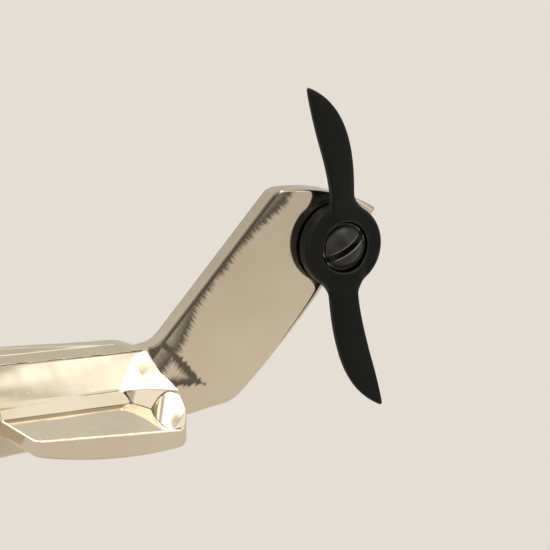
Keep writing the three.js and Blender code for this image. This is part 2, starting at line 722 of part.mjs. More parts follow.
const NICKEL = new THREE.MeshStandardMaterial({ color: 0xd8d0c2, roughness: 0.08, metalness: 1 });
const ALUMINIUM = new THREE.MeshStandardMaterial({ color: 0xc9c9c9, roughness: 0.35, metalness: 1 });
const BLACK_PAINT = new THREE.MeshStandardMaterial({ color: 0x161614, roughness: 0.45, metalness: 0 });
const BLACK_STEEL = new THREE.MeshStandardMaterial({ color: 0x2a2a29, roughness: 0.35, metalness: 1 });
const STEEL = new THREE.MeshStandardMaterial({ color: 0xb9b9b6, roughness: 0.3, metalness: 1 });
const BRONZE = new THREE.MeshStandardMaterial({ color: 0xb08a4e, roughness: 0.35, metalness: 1 });
const FIBRE = new THREE.MeshStandardMaterial({ color: 0x2b1a12, roughness: 0.8, metalness: 0 });

function named(name, body, material) {
  const mesh = new THREE.Mesh(surface(body), material);
  mesh.name = name;
  return mesh;
}

const tail = new THREE.Group();
tail.add(
  named("boom_port_shell", boomPortShell(), NICKEL),
  named("boom_starboard_shell", boomStarboardShell(), NICKEL),
  named("spine_strip", spineStrip(), NICKEL),
  named("tail_fin", fin(), NICKEL),
  named("joint_block", jointBlock(), ALUMINIUM),
);

for (const [name, [x, z]] of Object.entries(CLAMP_SCREWS)) {
  const isJoint = name === "joint";
  const body = clampScrew(isJoint ? CLAMP.jointSeatY : CLAMP.seatY, isJoint ? -9 : -CLAMP.tipY);
  const screw = named("clamp_screw_" + name, body, STEEL);
  screw.position.set(x, 0, z);
  tail.add(screw);
}

for (const [name, [x, z]] of Object.entries(DOWELS)) {
  const pin = named("dowel_pin_" + name, dowelPin(), STEEL);
  pin.position.set(x, 0, z);
  tail.add(pin);
}

const rotorAssembly = new THREE.Group();
rotorAssembly.position.set(ROTOR_AXIS.x, 0, ROTOR_AXIS.z);
rotorAssembly.add(
  named("tail_rotor", rotor(), BLACK_PAINT),
  named("rotor_bush", rotorBush(), BRONZE),
  named("pivot_sleeve", pivotSleeve(), STEEL),
  named("thrust_washer", thrustWasher(), FIBRE),
  named("head_washer", headWasher(), BLACK_STEEL),
  named("rotor_screw", rotorScrew(), BLACK_STEEL),
  named("nut_washer", nutWasher(), NICKEL),
  named("lock_washer", lockWasher(), STEEL),
  named("cap_nut", capNut(), NICKEL),
);
tail.add(rotorAssembly);

export default tail;
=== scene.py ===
import math

import bpy
import numpy as np
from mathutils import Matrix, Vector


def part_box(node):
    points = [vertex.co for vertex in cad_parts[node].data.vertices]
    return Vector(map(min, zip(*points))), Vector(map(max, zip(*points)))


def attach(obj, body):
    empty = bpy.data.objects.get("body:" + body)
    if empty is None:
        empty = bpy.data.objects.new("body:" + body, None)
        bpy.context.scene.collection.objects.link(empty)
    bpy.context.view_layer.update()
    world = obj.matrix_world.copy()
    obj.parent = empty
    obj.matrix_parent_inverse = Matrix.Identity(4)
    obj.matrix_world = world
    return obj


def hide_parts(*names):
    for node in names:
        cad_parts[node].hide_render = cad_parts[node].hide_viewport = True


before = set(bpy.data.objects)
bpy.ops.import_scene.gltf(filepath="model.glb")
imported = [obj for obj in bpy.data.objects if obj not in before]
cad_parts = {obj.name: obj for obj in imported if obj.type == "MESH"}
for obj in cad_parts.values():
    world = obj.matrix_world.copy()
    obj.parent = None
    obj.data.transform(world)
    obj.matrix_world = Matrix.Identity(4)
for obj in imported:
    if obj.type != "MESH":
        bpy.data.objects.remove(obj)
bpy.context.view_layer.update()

import openvdb
from mathutils import Vector

MM = 0.001

# ---------------------------------------------------------------- driving dimensions

FINE = 0.13 * MM  # mesh step of the small turned pieces
MEDIUM = 0.2 * MM
COARSE = 0.26 * MM
FIN_STEP = 0.9 * COARSE
BEND_REACH = 0.3 * MM  # how far round a point its surface's bend is measured

SEAM = 0.15 * MM  # half the gap between the two shells
GAP = 0.3 * MM
SHIM = 0.1 * MM
CLEAR = np.array([-GAP, GAP])  # the play at a slot's two ends

# The roundings of cut and turned edges, from the crispest up.
CUT_EDGE = 0.12 * MM
FINE_EDGE = 0.15 * MM
MACHINED_EDGE = 0.2 * MM
TURNED_EDGE = 0.3 * MM

# What turns a height over a slope into roughly a distance.
GENTLE = 0.9
SLANTED = 0.8
STEEP = 0.7

# Half-width and height of the boom's top, widest line and belly, at its two ends.
BOOM_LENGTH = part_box("boom_port_shell")[1][0]
BOOM_FRONT = np.array([[4.6, 9.9], [11.0, 2.5], [5.2, -11.6]]) * MM
BOOM_REAR = np.array([[3.9, 8.5], [9.5, 2.6], [3.5, -7.2]]) * MM
UPPER_BULGE_FRONT = 0.8 * MM
UPPER_BULGE_REAR = -0.08 * MM
LOWER_BULGE = 0.9 * MM
TOP_EDGE = 0.16 * MM
WIDEST_EDGE = 0.5 * MM
BELLY_EDGE = 1.1 * MM
REAR_EDGE = 0.5 * MM
WALL = 2.2 * MM
REAR_WALL = 3 * MM
BOSS_RADIUS = 3.6 * MM
DOWEL_BOSS_RADIUS = 2.4 * MM
BOSS_INSET = 0.4 * MM  # how far inside the boom's skin the bosses stop

LEADING_X = 20.4 * MM
ROOT_Y = 10.5 * MM
ROOT_Z = 0.1 * MM
DROOP = 0.309
SWEEP = 0.36
NOSE_DEPTH = 3.3 * MM
MID_DEPTH = 4.9 * MM
TAIL_DEPTH = 1.7 * MM
CHORD_END = 60 * MM
FRONT_TIP_Y = 19.8 * MM
TIP_Y = 22.2 * MM
FRONT_CORNER = 1.2 * MM
REAR_CORNER = 2.6 * MM
TIP_EDGE = 0.3 * MM
UNDER_EDGE = 0.7 * MM
WING_INNER_Y = 5 * MM

# The hollow band between the boom's widest line and the stabiliser: an arc about a line.
BAND_Y = 21.56 * MM
BAND_Z = 5 * MM
BAND_RADIUS = 12 * MM
BAND_TOP = 2.6 * MM
BAND_END = 11.5 * MM
BAND_FOLLOW = 0.4  # how much of the boom's taper the band follows

# The rounded shoulder over the stabiliser's rear end.
SHOULDER_HEIGHT = 5.5 * MM
SHOULDER_HIGHEST_Y = 14.5 * MM
SHOULDER_INNER = 12 * MM
SHOULDER_OUTER = 7.2 * MM
SHOULDER_LENGTH = 5.4 * MM
SHOULDER_LONGEST_Y = 18 * MM
SHOULDER_REACH = 8.2 * MM
SHOULDER_LEAST = 1.8 * MM
SHOULDER_FOOT = 1.6  # how abruptly the shoulder starts at its foot
SHOULDER_SINK = 0.4 * MM
VALLEY = 0.12 * MM

# Near its rear end the boom's widest line sweeps outwards up to a sharp edge over the stabiliser.
FLARE_START = 47 * MM
FLARE_OUT = np.array([9.7, 18.1]) * MM
FLARE_HEIGHT = np.array([2.5, 3.6]) * MM
FLARE_SLOPE = 0.244
FLARE_SPREAD = 0.6
FLARE_EDGE = 0.25 * MM
FLARE_BLEND = 2.4 * MM
FLARE_BLEND_LENGTH = 6 * MM
FLARE_MARGIN = 0.3 * MM  # how far the sweep stays inside the stabiliser's outline
FLARE_DEPTH = 0.5 * MM  # how far its wall goes on below the stabiliser's upper face

SPINE_HALF = 2.5 * MM  # half the ridge's width at the front
SPINE_HEIGHT = 1.65 * MM
SPINE_END = 56.2 * MM
SPINE_RAMP = 50 * MM
SPINE_LOW = 0.35 * MM
SPINE_EDGE = 0.2 * MM
SPINE_CROWN = 1.9 * MM  # how far the strip's middle stands above its edges at the front
SPINE_BULGE = 0.04 * MM
SPINE_FOOT = 0.03 * MM
SPINE_SINK = 0.04 * MM
SPINE_REAR_EDGE = 0.15 * MM

# The strip's tongue, a tee on a web.
TONGUE_X = np.array([13.6, 33]) * MM
TONGUE_LOW = 5 * MM
TEE_TOP = 6.2 * MM
TEE_HALF = 1.7 * MM
WEB_TOP = 10.2 * MM
WEB_HALF = 0.8 * MM

# The fin, its tenon between the shells, and where its edges turn soft: behind the leading edge and
# below a height, and at its heel, each as where that begins and where it is full.
FIN_HALF = 2.5 * MM
FIN_CRISP = 0.45 * MM
FIN_SOFT = 1.9 * MM
FIN_HOLE = 2.7 * MM
TENON_X = np.array([34, 50.6]) * MM
TENON_Z = np.array([-4.4, 6.1]) * MM
TRAILING_BEHIND = np.array([8, 18]) * MM
TRAILING_HEIGHT = np.array([34, 28]) * MM
HEEL_HEIGHT = np.array([12, 4]) * MM
HEEL_X = np.array([58, 61]) * MM
HEEL_SHARE = 0.5
ROLLED_DEPTH = 0.22 * MM  # how far the faces fall away towards the rim
ROLLED_REACH = 1.6 * MM
ROLLED_X = np.array([58, 62]) * MM

# The block in the boom's front end, with its two tapped holes.
BLOCK_LENGTH = 12.5 * MM
TAPPED_HEIGHT = 5.4 * MM
TAPPED_RADIUS = 1.65 * MM
TAPPED_DEPTH = 9 * MM
THREAD_PITCH = 0.5 * MM
THREAD_DEPTH = 0.25 * MM
THREAD_CREST = 0.3

# The clamp screws and dowels, as x and z in millimetres, and their sizes. Each reach is along Y: the
# head's seat, the end of the blind hole and the screw's tip.
SCREWS = {"joint": (6, 0.5), "front": (24, 3.4), "middle": (38.5, 3.4), "rear": (48, 3.4)}
DOWELS = {"front": (17.5, -5), "rear": (29.5, -4.6)}
SCREW_HOLE = 1.7 * MM
SCREW_SHANK = 1.5 * MM
SCREW_HEAD = 2.6 * MM
SCREW_HEAD_HEIGHT = 1.8 * MM
SCREW_SLOT = 0.8 * MM
SCREW_FILLET = 0.15 * MM
SEAT_RADIUS = 2.9 * MM
CLAMP_REACH = (4.9 * MM, 5.9 * MM, -5.6 * MM)
JOINT_REACH = (8.2 * MM, 9.5 * MM, -9 * MM)
DOWEL_HOLE = 1.3 * MM
DOWEL_HOLE_END = 3.9 * MM

AXIS_X, AXIS_Z = 100 * MM, 25.5 * MM
HUB_RADIUS = 8.6 * MM
HUB_REAR = -3.1 * MM
HUB_FRONT = -6.5 * MM
HUB_EDGE = 1.0 * MM
HUB_SEAT_RADIUS = 5.2 * MM
HUB_SEAT_Y = -5.3 * MM
HUB_BORE = 3.65 * MM
BLADE_Y = -5.2 * MM
BLADE_HALF = 0.95 * MM
BLADE_LENGTH = 34 * MM
BLADE_LEAN = 1.1 * MM / BLADE_LENGTH
BLADE_PITCH = math.tan(math.radians(11))
BLADE_TWIST = np.array([22, 10]) * MM  # heights where the pitch begins and where it is full
BLADE_TAPER = 0.35
BLADE_ROOT_BLEND = 2.2 * MM
BLADE_BEVEL = 0.8 * MM
BLADE_THINNING = 0.6

SCREW_SEAT_Y = -6.1 * MM
DOME_RADIUS = 4.5 * MM
DOME_HEIGHT = 2.6 * MM
DOME_SLOT = 1.3 * MM
DOME_SLOT_DEPTH = 1.5 * MM
DOME_SLOT_ANGLE = math.radians(31)
DOME_EDGE = 0.25 * MM
DOME_SLOT_EDGE = 0.16 * MM
SHANK = 2.5 * MM
SHANK_HIDDEN = 0.5 * MM
SHANK_END = 7.6 * MM

# The washers on the rotor's axis: inner and outer radius, both faces along Y, and edge.
HEAD_WASHER = np.array([2.65, 4.85, -6.0, -5.5, 0.12]) * MM
NUT_WASHER = np.array([2.65, 5, 2.6, 3.4, 0.15]) * MM
LOCK_WASHER = np.array([2.65, 4.2, 3.5, 4.2, 0.12]) * MM
LOCK_SPLIT = 0.35 * MM
LOCK_SPLIT_EDGE = 0.1 * MM

# The domed nut: a chamfered hexagon with a ball on it.
NUT_LOW = 4.3 * MM
NUT_HEIGHT = 4 * MM
NUT_HALF_FLATS = 4 * MM
NUT_CHAMFER = 4.35 * MM
NUT_CHAMFER_SLOPE = 1.1
NUT_CHAMFER_SLANT = 0.67
NUT_CHAMFER_EDGE = 0.1 * MM
NUT_BALL = 3.7 * MM
NUT_BALL_HEIGHT = 3.5 * MM
NUT_BALL_START = 1 * MM
NUT_NECK = 0.4 * MM
NUT_BORE_END = 8 * MM

FLOOR_Z = -70 * MM
FLOOR_HALF = 15  # metres
FLOOR_COLOUR = (0.538, 0.506, 0.469)
CAMERA_AZIMUTH = -28  # degrees, as are all azimuths and elevations
CAMERA_ELEVATION = 13.4
CAMERA_DISTANCE = 2.5
VIEW_WIDTH = 110 * MM
CAMERA_TARGET = Vector((87.03, -1.08, 20.05)) * MM
SENSOR = 36

# The room's radiance low down and higher up, the sines of the elevations between which it changes,
# and its other shades.
ROOM = (0.81, 0.79, 0.75)
ROOM_LOW = (0.64, 0.62, 0.6)
ROOM_RISE = (0.25, 0.65)
ROOM_WINDOW = (1.25, 1.21, 1.16)
ROOM_UPPER = (0.74, 0.72, 0.69)
ROOM_DIM = (0.42, 0.39, 0.35)
ROOM_DARK = (0.05, 0.042, 0.035)
LIGHT = (2.5, 2.5, 2.5)

# Patches of the room: azimuth, elevation, the half-angles where each is full and where it ends, and
# its radiance.
ROOM_PATCHES = (
    (88, 63, 8, 20, ROOM_UPPER),
    (-12, 12, 10, 18, ROOM_DIM),
    (6, 3, 10, 15, ROOM_DARK),
    (32, 25, 22, 29, ROOM_WINDOW),
    (-60, 12, 18, 26, ROOM_WINDOW),
    (170, 53, 10, 16, LIGHT),
    (149, 61, 10, 16, LIGHT),
)

# The long overhead light: the direction square to its middle plane, its middle as azimuth and
# elevation, its half-angles, and how wide its soft borders are, all in degrees.
LIGHT_ASIDE = (-0.728, -0.67, -0.146)
LIGHT_MIDDLE = (-90, 79)
LIGHT_HALF_WIDTH = 17.5
LIGHT_HALF_LENGTH = 39
LIGHT_SIDE_BORDER = 6
LIGHT_END_BORDER = 10

# ---------------------------------------------------------------- shaping with distance fields


def overlap(a, b, radius):
    """Where two solids overlap, with the outer edge rounded."""
    u = np.maximum(a + radius, 0)
    v = np.maximum(b + radius, 0)
    return np.minimum(-radius, np.maximum(a, b)) + np.sqrt(u * u + v * v)


def join(a, b, radius):
    """Two solids as one, with the inner corner filled by a fillet."""
    u = np.maximum(radius - a, 0)
    v = np.maximum(radius - b, 0)
    return np.maximum(radius, np.minimum(a, b)) - np.sqrt(u * u + v * v)


def between(value, low, high):
    return np.maximum(low - value, value - high)


def ramp(value, start, end):
    """0 up to the start and 1 past the end, where the end may be the lower of the two."""
    return np.clip((value - start) / (end - start), 0, 1)


def rod(x, z, centre, radius):
    """A rod along Y."""
    return np.hypot(x - centre[0] * MM, z - centre[1] * MM) - radius


def about_axis(x, z):
    """Distance from the rotor's axis."""
    return np.hypot(x - AXIS_X, z - AXIS_Z)


def ripple(x, y, z):
    """The faint unevenness of metal that was ground and polished by hand."""
    waves = np.sin(x * 410 + z * 260 + 0.7) + np.sin(x * 170 - z * 350 + y * 120 + 2.1)
    waves = waves + np.sin(x * 560 - y * 240 + z * 90 + 4.0) * 0.5
    return waves * 0.008 * MM


def outline_distance(x, z, points):
    """Signed distance to a closed outline in X and Z."""
    nearest = np.inf
    inside = False
    for (ax, az), (bx, bz) in zip(points, np.roll(points, -1, axis=0)):
        ex, ez = bx - ax, bz - az
        px, pz = x - ax, z - az
        t = np.clip((px * ex + pz * ez) / (ex * ex + ez * ez), 0, 1)
        nearest = np.minimum(nearest, (px - ex * t) ** 2 + (pz - ez * t) ** 2)
        if az != bz:
            inside = inside ^ (((az > z) != (bz > z)) & (px < ex * pz / ez))
    return np.where(inside, -np.sqrt(nearest), np.sqrt(nearest))


def curve(*controls, steps=18):
    """Points along a Bezier curve, without its first."""
    points = []
    for i in range(1, steps + 1):
        level = np.array(controls, dtype=float)
        while len(level) > 1:
            level = level[:-1] + (level[1:] - level[:-1]) * (i / steps)
        points.append(level[0])
    return points


def slopes(field, points, reach):
    """The field's slope along each axis at some points."""
    columns = []
    for axis in range(3):
        shift = np.zeros(3)
        shift[axis] = reach
        columns.append((field(*(points + shift).T) - field(*(points - shift).T)) / (2 * reach))
    return np.stack(columns, axis=1)


def skin(field, low, high, step):
    """The surface of a field between two corners: points on it, quads and outward normals."""
    axes = [np.arange(a - 3 * step, b + 4 * step, step) for a, b in zip(low, high)]
    values = field(axes[0][:, None, None], axes[1][None, :, None], axes[2][None, None, :])
    values = np.broadcast_to(values, [len(axis) for axis in axes]) / step
    grid = openvdb.FloatGrid()
    grid.copyFromArray(np.ascontiguousarray(values, dtype=np.float32))
    points, quads = grid.convertToQuads(isovalue=0.0)
    points = points.astype(float) * step + np.array([axis[0] for axis in axes])
    for _ in range(4):
        slope = slopes(field, points, step * 0.1)
        size = np.maximum((slope ** 2).sum(axis=1), 0.1)
        move = (field(*points.T) / size)[:, None] * slope
        points = points - np.clip(move, -0.4 * step, 0.4 * step)
    normals = slopes(field, points, step * 0.25)
    normals /= np.maximum(np.linalg.norm(normals, axis=1), 1e-9)[:, None]
    a, b, c = (points[quads[:, i]] for i in range(3))
    facing = (np.cross(b - a, c - a) * normals[quads[:, 0]]).sum()
    if facing < 0:
        quads = quads[:, ::-1]
    return points, quads, normals


def bend(field, points, reach):
    """How strongly the surface bends at each point: 1 on an outer edge, -1 in an inner corner."""
    total = -6 * field(*points.T)
    for axis in range(3):
        shift = np.zeros(3)
        shift[axis] = reach
        total = total + field(*(points + shift).T) + field(*(points - shift).T)
    return np.clip(total / reach, -1, 1)


def piece(name, body, node, field, step, material):
    """A meshed field that stands for one CAD node and rides with its body."""
    low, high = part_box(node)
    points, quads, normals = skin(field, low, high, step)
    mesh = bpy.data.meshes.new(name)
    mesh.from_pydata(points.tolist(), [], quads.tolist())
    mesh.shade_smooth()
    mesh.normals_split_custom_set_from_vertices(normals.tolist())
    edge = mesh.attributes.new("edge", "FLOAT", "POINT")
    edge.data.foreach_set("value", bend(field, points, BEND_REACH).astype(np.float32))
    mesh.materials.append(material)
    made = bpy.data.objects.new(name, mesh)
    bpy.context.scene.collection.objects.link(made)
    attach(made, body)
    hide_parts(node)
    return made


# ---------------------------------------------------------------- the boom and stabilisers


def boom_point(which, x):
    """Half-width and height of one corner of the boom's section at a station."""
    share = ramp(x, 0, BOOM_LENGTH)
    front, rear = BOOM_FRONT[which], BOOM_REAR[which]
    return front[0] + (rear[0] - front[0]) * share, front[1] + (rear[1] - front[1]) * share


def past_line(y, z, start, end, bulge):
    """How far a point lies outside a line that bulges outwards between two corners."""
    along_y, along_z = end[0] - start[0], end[1] - start[1]
    length = np.hypot(along_y, along_z)
    t = ((y - start[0]) * along_y + (z - start[1]) * along_z) / length ** 2
    t = np.clip(t, -0.2, 1.2)
    return ((z - start[1]) * along_y - (y - start[0]) * along_z) / length - bulge * 4 * t * (1 - t)


def boom_tube(x, out, z):
    """The boom's section as an endless taper."""
    out = np.abs(out)
    top, side, belly = (boom_point(i, x) for i in range(3))
    share = ramp(x, BOOM_LENGTH, 0)
    bulge = UPPER_BULGE_REAR + (UPPER_BULGE_FRONT - UPPER_BULGE_REAR) * share ** 1.5
    tube = overlap(z - top[1], past_line(out, z, top, side, bulge), TOP_EDGE)
    tube = overlap(tube, past_line(out, z, side, belly, LOWER_BULGE), WIDEST_EDGE)
    return overlap(tube, belly[1] - z, BELLY_EDGE)


def floor_height(out):
    """Height of the stabiliser's upper face."""
    return ROOT_Z - DROOP * (out - ROOT_Y)


def shoulder(x, out, z):
    """A swelling whose height and length vary along the stabiliser, rounded off towards its foot."""
    reach = np.where(out < SHOULDER_HIGHEST_Y, SHOULDER_INNER, SHOULDER_OUTER)
    swell = np.sqrt(np.maximum(0, 1 - ((out - SHOULDER_HIGHEST_Y) / reach) ** 2))
    height = SHOULDER_HEIGHT * swell + SHOULDER_SINK
    stretch = np.sqrt(np.maximum(0, 1 - ((out - SHOULDER_LONGEST_Y) / SHOULDER_REACH) ** 2))
    length = np.maximum(SHOULDER_LEAST, SHOULDER_LENGTH * stretch)
    share = np.maximum(BOOM_LENGTH - x, 0) / length
    top = floor_height(out) - SHOULDER_SINK + height * (1 - share ** SHOULDER_FOOT)
    return (z - top) * STEEP


def flare(x, out, z):
    """The outward sweep of the boom's side: a gently sloped top over a steep wall."""
    share = ramp(x, FLARE_START, BOOM_LENGTH)
    edge_out = FLARE_OUT[0] + (FLARE_OUT[1] - FLARE_OUT[0]) * share ** 2
    edge_z = FLARE_HEIGHT[0] + (FLARE_HEIGHT[1] - FLARE_HEIGHT[0]) * share
    top = (z - edge_z - FLARE_SLOPE * (edge_out - out)) * GENTLE
    wall = (out - edge_out - FLARE_SPREAD * share * (edge_z - z)) * STEEP
    swept = np.maximum(overlap(top, wall, FLARE_EDGE), FLARE_START - x)
    swept = np.maximum(swept, wing_plan(x, out) + FLARE_MARGIN)
    return np.maximum(swept, floor_height(out) - FLARE_DEPTH - z)


def root_band(x, out, z):
    """The hollow band along the stabiliser's root."""
    shift = (boom_point(1, x)[0] - BOOM_REAR[1][0]) * BAND_FOLLOW
    hollow = BAND_RADIUS - np.hypot(out - BAND_Y - shift, z - BAND_Z)
    return np.maximum(np.maximum(hollow, z - BAND_TOP), out - BAND_END)


def wing_plan(x, out):
    """The stabiliser seen from above, with round corners at its tip."""
    nose = LEADING_X + SWEEP * (FRONT_TIP_Y - ROOT_Y)
    taper = (TIP_Y - FRONT_TIP_Y) / (BOOM_LENGTH - nose)
    tip = (out - FRONT_TIP_Y - taper * (x - nose)) / math.hypot(1, taper)
    lead = (LEADING_X + SWEEP * (out - ROOT_Y) - x) / math.hypot(1, SWEEP)
    plan = overlap(tip, x - BOOM_LENGTH, REAR_CORNER)
    return overlap(plan, lead, FRONT_CORNER)


def stabiliser(x, out, z):
    """The stub wing: a flat upper face with the shoulder and the band on it, and a round belly."""
    lean = math.hypot(1, DROOP)
    upper = (z - floor_height(out)) / lean
    upper = join(upper, shoulder(x, out, z), VALLEY)
    upper = join(upper, root_band(x, out, z), VALLEY)
    chord = (x - SWEEP * (out - ROOT_Y) - LEADING_X) / (CHORD_END - LEADING_X)
    deepest = (NOSE_DEPTH + TAIL_DEPTH) / 2 - 2 * MID_DEPTH
    depth = 2 * deepest * chord * (1 - chord)
    depth = depth - NOSE_DEPTH * (1 - chord) ** 2 - TAIL_DEPTH * chord ** 2
    under = (floor_height(out) + depth - z) / lean
    wing = overlap(upper, wing_plan(x, out), TIP_EDGE)
    wing = overlap(wing, under, UNDER_EDGE)
    return np.maximum(wing, WING_INNER_Y - out)


def shell_slots(x, out, z):
    """What the fin and the spine strip's tongue take out of a shell."""
    beside_fin = out - FIN_HALF - SEAM
    fin = np.maximum(TENON_X[1] - GAP - x, TENON_Z[0] - GAP - z)
    tenon = np.maximum(between(x, *(TENON_X + CLEAR)), between(z, *(TENON_Z + CLEAR)))
    run = between(x, *(TONGUE_X + CLEAR))
    web = np.maximum(np.maximum(run, out - WEB_HALF - SEAM), TONGUE_LOW - GAP - z)
    tee = np.maximum(run, out - TEE_HALF - SEAM)
    tee = np.maximum(tee, between(z, TONGUE_LOW - GAP, TEE_TOP + SEAM))
    return np.minimum(np.maximum(np.minimum(fin, tenon), beside_fin), np.minimum(web, tee))


def shell_bosses(x, out, z):
    """The bosses for the screws and dowels, left clear of the fin."""
    bosses = np.inf
    for key in ("front", "middle", "rear"):
        inner = SEAM if key == "front" else FIN_HALF + SEAM
        bosses = np.minimum(bosses, np.maximum(rod(x, z, SCREWS[key], BOSS_RADIUS), inner - out))
    for place in DOWELS.values():
        boss = np.maximum(rod(x, z, place, DOWEL_BOSS_RADIUS), SEAM - out)
        bosses = np.minimum(bosses, boss)
    return bosses


def screw_reach(key):
    """Where a clamp screw's head seats, where its blind hole ends and where its tip is."""
    return JOINT_REACH if key == "joint" else CLAMP_REACH


def shell_holes(x, out, z, starboard):
    """Through holes with seats to starboard, blind holes to port, and the dowels' holes in both."""
    holes = np.inf
    for key, place in SCREWS.items():
        hole = rod(x, z, place, SCREW_HOLE)
        seat_y, hole_end, _ = screw_reach(key)
        if starboard:
            seat = np.maximum(rod(x, z, place, SEAT_RADIUS), seat_y - out)
            hole = np.minimum(hole, seat)
        else:
            hole = np.maximum(hole, out - hole_end)
        holes = np.minimum(holes, hole)
    for place in DOWELS.values():
        hole = np.maximum(rod(x, z, place, DOWEL_HOLE), out - DOWEL_HOLE_END)
        holes = np.minimum(holes, hole)
    return holes


def shell_field(side):
    """One half of the boom: side is -1 to port and 1 to starboard."""
    def field(x, y, z):
        out = side * y
        tube = boom_tube(x, out, z)
        closed = overlap(tube, x - BOOM_LENGTH, REAR_EDGE)
        share = ramp(x, FLARE_START, FLARE_START + FLARE_BLEND_LENGTH)
        swept = join(closed, flare(x, out, z), VALLEY + (FLARE_BLEND - VALLEY) * share)
        body = join(swept, stabiliser(x, out, z), VALLEY) + ripple(x, y, z)
        body = overlap(body, x - BOOM_LENGTH, TURNED_EDGE)
        hollow = np.maximum(tube + WALL, x - BOOM_LENGTH + REAR_WALL)
        hollow = np.maximum(hollow, -np.maximum(shell_bosses(x, out, z), tube + BOSS_INSET))
        body = overlap(body, -hollow, MACHINED_EDGE)
        body = overlap(body, SEAM - out, CUT_EDGE)
        body = overlap(body, -x, MACHINED_EDGE)
        body = overlap(body, -shell_slots(x, out, z), CUT_EDGE)
        return overlap(body, -shell_holes(x, out, z, side > 0), FINE_EDGE)
    return field


def spine_field(x, y, z):
    """The raised strip along the boom's back, with its tongue."""
    top_half, top_height = boom_point(0, x)
    fall = (SPINE_HEIGHT - SPINE_LOW) * ramp(x, SPINE_RAMP, SPINE_END) ** 2
    top = top_height + SPINE_HEIGHT - fall
    out = np.abs(y)
    ridge = SPINE_HALF - BOOM_FRONT[0][0] + top_half
    foot = (top_half + SPINE_FOOT, top_height + SPINE_FOOT)
    crown = SPINE_CROWN * ramp(x, SPINE_RAMP, 0) ** 0.8
    crest = crown * (1 - (np.minimum(out, ridge) / ridge) ** 2)
    facet = past_line(out, z, (ridge, top), foot, SPINE_BULGE)
    strip = overlap((z - top - crest) * SLANTED, facet, SPINE_EDGE)
    strip = overlap(strip, x - SPINE_END, SPINE_REAR_EDGE)
    strip = overlap(strip, top_height + SPINE_SINK - z, SPINE_SINK) + ripple(x, y, z)
    strip = overlap(strip, -x, MACHINED_EDGE)
    run = between(x, *TONGUE_X)
    web = np.maximum(np.maximum(run, out - WEB_HALF), between(z, TONGUE_LOW, WEB_TOP))
    tee = np.maximum(np.maximum(run, out - TEE_HALF), between(z, TONGUE_LOW, TEE_TOP))
    return np.minimum(strip, np.minimum(web, tee))


def block_field(x, y, z):
    """The block that closes the boom's front, with its tapped and cross holes."""
    body = overlap(boom_tube(x, y, z) + WALL + GAP, between(x, 0, BLOCK_LENGTH), TURNED_EDGE)
    for height in (TAPPED_HEIGHT, -TAPPED_HEIGHT):
        tapped = np.hypot(y, z - height) - TAPPED_RADIUS
        crest = np.maximum(np.abs((x / THREAD_PITCH) % 1 - 0.5) - THREAD_CREST, 0)
        hole = np.maximum(tapped + crest * THREAD_DEPTH, x - TAPPED_DEPTH)
        body = overlap(body, -hole, MACHINED_EDGE)
    return overlap(body, -rod(x, z, SCREWS["joint"], SCREW_HOLE), FINE_EDGE)


def clamp_screw_field(place, seat_y, tip_y):
    """A slotted cheese-head screw along Y, its head to starboard."""
    low = seat_y + SHIM
    high = low + SCREW_HEAD_HEIGHT

    def field(x, y, z):
        radius = rod(x, z, place, 0)
        head = overlap(radius - SCREW_HEAD, between(y, low, high), TURNED_EDGE)
        shank = overlap(radius - SCREW_SHANK, between(y, tip_y, high), TURNED_EDGE)
        slot = np.maximum(np.abs(z - place[1] * MM) - SCREW_SLOT / 2, high - SCREW_SLOT - y)
        return overlap(join(head, shank, SCREW_FILLET), -slot, CUT_EDGE)
    return field


# ---------------------------------------------------------------- the fin


def fin_outline():
    """The fin and its tenon seen from the side."""
    tenon_front, tenon_rear = TENON_X / MM
    tenon_low, tenon_high = TENON_Z / MM
    foot, top, middle, rear = (60.2, 8.6), (86.9, 37.5), (100.4, 37.4), (109.7, 31.5)
    points = [(tenon_rear, 8.65), (57.2, 8.6)]
    points += curve((57.2, 8.6), foot, (62.24, 10.8))
    points += [(85.8, 36.3)]
    points += curve((85.8, 36.3), top, (88.5, 37.5))
    points += curve((88.5, 37.5), middle, (109.0, 31.9), steps=24)
    points += curve((109.0, 31.9), rear, (109.2, 30.9))
    points += curve((109.2, 30.9), (93.6, 9.6), (79.2, -3.3), steps=30)
    points += curve((79.2, -3.3), (77.4, -4.95), (74.5, -5.3))
    points += [(67.7, -6.4), (57.4, -6.9), (57.4, tenon_low), (tenon_front, tenon_low)]
    points += [(tenon_front, tenon_high), (tenon_rear, tenon_high)]
    return np.array(points) * MM


FIN_POINTS = fin_outline()
# The leading edge runs along LEAD_ALONG, in X and Z. LEAD_OFFSET is its distance from the origin.
LEAD_ALONG = (0.679, 0.734)
LEAD_OFFSET = 38.4 * MM


def fin_field(x, y, z):
    """The fin, its edges crisp in front and soft behind and at the heel."""
    rim = outline_distance(x, z, FIN_POINTS)
    behind = LEAD_ALONG[1] * x - LEAD_ALONG[0] * z - LEAD_OFFSET
    trailing = ramp(behind, *TRAILING_BEHIND) * ramp(z, *TRAILING_HEIGHT)
    heel = ramp(z, *HEEL_HEIGHT) * ramp(x, *HEEL_X) * HEEL_SHARE
    radius = FIN_CRISP + (FIN_SOFT - FIN_CRISP) * np.maximum(trailing, heel)
    rolled = ROLLED_DEPTH * np.exp(np.minimum(rim, 0) / ROLLED_REACH)
    face = np.abs(y) - FIN_HALF + rolled * ramp(x, *ROLLED_X)
    body = overlap(rim, face, radius) + ripple(x, y, z)
    body = overlap(body, FIN_HOLE - about_axis(x, z), FINE_EDGE)
    for key in ("middle", "rear"):
        body = overlap(body, -rod(x, z, SCREWS[key], SCREW_HOLE), CUT_EDGE)
    return body


# ---------------------------------------------------------------- the rotor and what holds it


